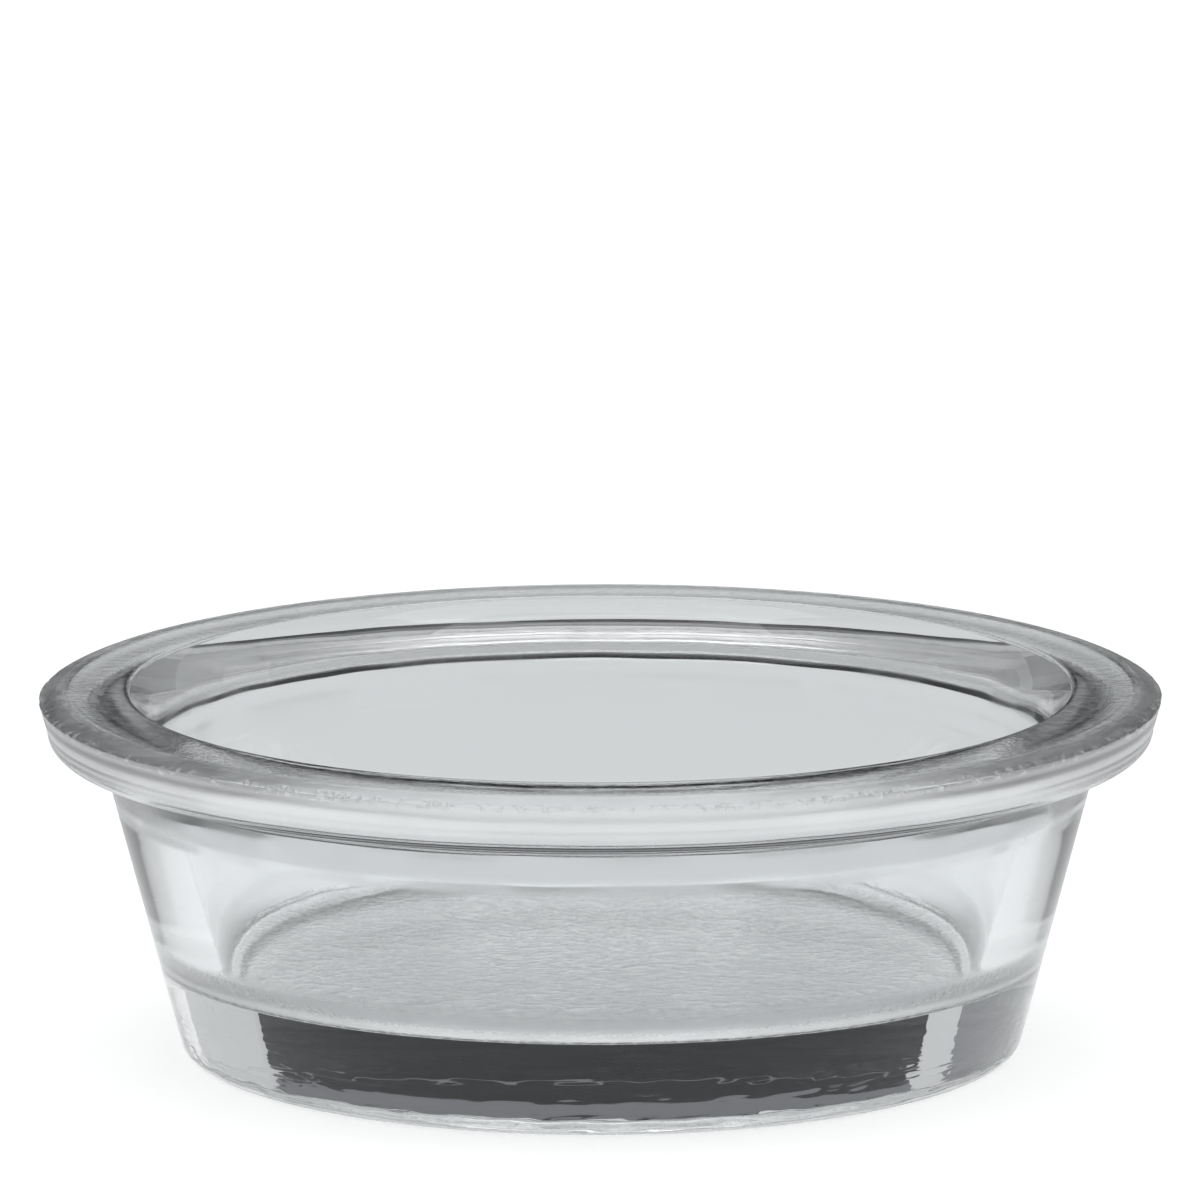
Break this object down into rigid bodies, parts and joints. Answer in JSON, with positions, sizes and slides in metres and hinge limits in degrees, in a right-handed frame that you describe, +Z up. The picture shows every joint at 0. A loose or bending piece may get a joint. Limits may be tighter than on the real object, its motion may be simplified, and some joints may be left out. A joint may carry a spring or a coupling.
{
  "type": "crystallizing dish",
  "caption": "Low round dish of thick pressed clear glass with a tapered wall and a broad flat-topped flange, for crystallizing, evaporating and soaking.",
  "frame": {"origin": "centre of the foot ring, at the bottom of the dish", "axes": "+Z up along the axis of revolution, out of the mouth; +X and +Y are alike"},
  "size_m": [0.08, 0.08, 0.026],
  "materials": {
    "glass": "clear colourless pressed soda-lime glass, polished, with faint mould lines on the flange and floor"
  },
  "bodies": {
    "root": {"dish": "glass"}
  },
  "joints": []
}
